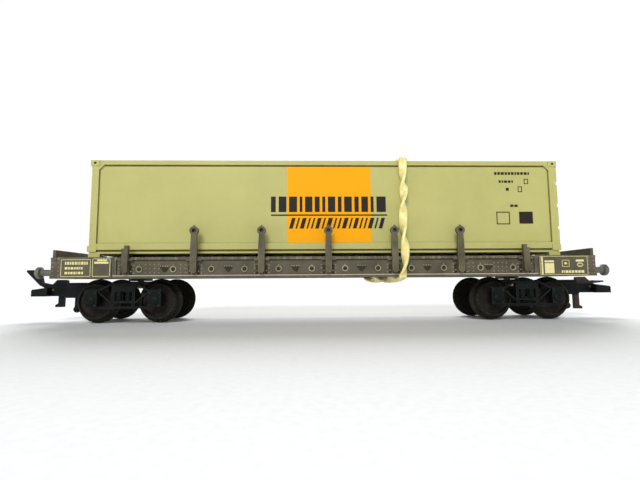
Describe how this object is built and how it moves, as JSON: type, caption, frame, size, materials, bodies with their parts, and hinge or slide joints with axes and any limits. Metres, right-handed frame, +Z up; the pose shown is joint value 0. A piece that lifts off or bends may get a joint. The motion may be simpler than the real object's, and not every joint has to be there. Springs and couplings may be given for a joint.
{
  "type": "model flat car",
  "caption": "Scale model bogie flat car with stakes and end boards, carrying a long container that a stretched rubber band holds to the deck.",
  "frame": {"origin": "midway between the bogies, on the plane that the wheel flanges stand on", "axes": "+X along the car to the right-hand coupler, -Y towards the printed near side, +Z up"},
  "size_m": [0.1885, 0.0346, 0.0494],
  "materials": {
    "frame_polystyrene": "moulded grey-brown polystyrene, satin",
    "deck_polystyrene": "moulded plank deck, satin",
    "stake_polystyrene": "moulded grey-brown polystyrene, satin",
    "buffer_polystyrene": "moulded grey polystyrene, satin",
    "ballast_steel": "plain rolled steel",
    "pin_brass": "turned brass",
    "bogie_acetal": "moulded black acetal",
    "coupler_acetal": "moulded black acetal",
    "hook_brown": "moulded brown acetal",
    "axle_steel": "turned steel rod",
    "wheel_acetal": "moulded dark brown acetal with polished treads",
    "container_polystyrene": "moulded cream polystyrene, printed",
    "band_rubber": "aged pale natural rubber"
  },
  "bodies": {
    "root": {"underframe": "frame_polystyrene", "deck": "deck_polystyrene", "ballast_plate": "ballast_steel", "container_pads": "container_polystyrene", "end_board_left": "frame_polystyrene", "end_board_right": "frame_polystyrene", "pivot_pin_left": "pin_brass", "pivot_pin_right": "pin_brass", "retaining_band": "band_rubber", "buffer_left_near": "buffer_polystyrene", "buffer_left_far": "buffer_polystyrene", "buffer_right_near": "buffer_polystyrene", "buffer_right_far": "buffer_polystyrene", "stake_near_1": "stake_polystyrene", "stake_near_2": "stake_polystyrene", "stake_near_3": "stake_polystyrene", "stake_near_4": "stake_polystyrene", "stake_near_5": "stake_polystyrene", "stake_near_6": "stake_polystyrene", "stake_near_7": "stake_polystyrene", "stake_far_1": "stake_polystyrene", "stake_far_2": "stake_polystyrene", "stake_far_3": "stake_polystyrene", "stake_far_4": "stake_polystyrene", "stake_far_5": "stake_polystyrene", "stake_far_6": "stake_polystyrene", "stake_far_7": "stake_polystyrene"},
    "bogie_left": {"bogie_frame_left": "bogie_acetal"},
    "bogie_right": {"bogie_frame_right": "bogie_acetal"},
    "wheelset_1": {"axle_1": "axle_steel", "wheel_1_near": "wheel_acetal", "wheel_1_far": "wheel_acetal"},
    "wheelset_2": {"axle_2": "axle_steel", "wheel_2_near": "wheel_acetal", "wheel_2_far": "wheel_acetal"},
    "wheelset_3": {"axle_3": "axle_steel", "wheel_3_near": "wheel_acetal", "wheel_3_far": "wheel_acetal"},
    "wheelset_4": {"axle_4": "axle_steel", "wheel_4_near": "wheel_acetal", "wheel_4_far": "wheel_acetal"},
    "coupler_left": {"coupler_left": "coupler_acetal", "hook_pin_left": "pin_brass"},
    "hook_left": {"hook_left": "coupler_acetal"},
    "coupler_right": {"coupler_right": "coupler_acetal", "hook_pin_right": "pin_brass"},
    "hook_right": {"hook_right": "hook_brown"},
    "container": {"container_body": "container_polystyrene", "container_base": "container_polystyrene"}
  },
  "joints": [
    {"name": "bogie_left_swivel", "type": "hinge", "parent": "root", "child": "bogie_left", "pos_m": [-0.06, 0, 0.0124], "axis": [0, 0, 1], "range_deg": [-10, 10]},
    {"name": "bogie_right_swivel", "type": "hinge", "parent": "root", "child": "bogie_right", "pos_m": [0.06, 0, 0.0124], "axis": [0, 0, 1], "range_deg": [-10, 10]},
    {"name": "wheelset_1_spin", "type": "hinge", "parent": "bogie_left", "child": "wheelset_1", "pos_m": [-0.0692, 0, 0.0066], "axis": [0, 1, 0], "continuous": true},
    {"name": "wheelset_2_spin", "type": "hinge", "parent": "bogie_left", "child": "wheelset_2", "pos_m": [-0.0508, 0, 0.0066], "axis": [0, 1, 0], "continuous": true},
    {"name": "wheelset_3_spin", "type": "hinge", "parent": "bogie_right", "child": "wheelset_3", "pos_m": [0.0508, 0, 0.0066], "axis": [0, 1, 0], "continuous": true},
    {"name": "wheelset_4_spin", "type": "hinge", "parent": "bogie_right", "child": "wheelset_4", "pos_m": [0.0692, 0, 0.0066], "axis": [0, 1, 0], "continuous": true},
    {"name": "coupler_left_swing", "type": "hinge", "parent": "bogie_left", "child": "coupler_left", "pos_m": [-0.0798, 0, 0.009], "axis": [0, 0, 1], "range_deg": [-12, 12]},
    {"name": "hook_left_lift", "type": "hinge", "parent": "coupler_left", "child": "hook_left", "pos_m": [-0.0866, 0, 0.01], "axis": [0, 1, 0], "range_deg": [-2, 12]},
    {"name": "coupler_right_swing", "type": "hinge", "parent": "bogie_right", "child": "coupler_right", "pos_m": [0.0798, 0, 0.009], "axis": [0, 0, 1], "range_deg": [-12, 12]},
    {"name": "hook_right_lift", "type": "hinge", "parent": "coupler_right", "child": "hook_right", "pos_m": [0.0866, 0, 0.01], "axis": [0, -1, 0], "range_deg": [0, 16]},
    {"name": "container_lift", "type": "slide", "parent": "root", "child": "container", "axis": [0, 0, 1], "range_m": [0, 0.03], "deforming": ["retaining_band"]}
  ]
}
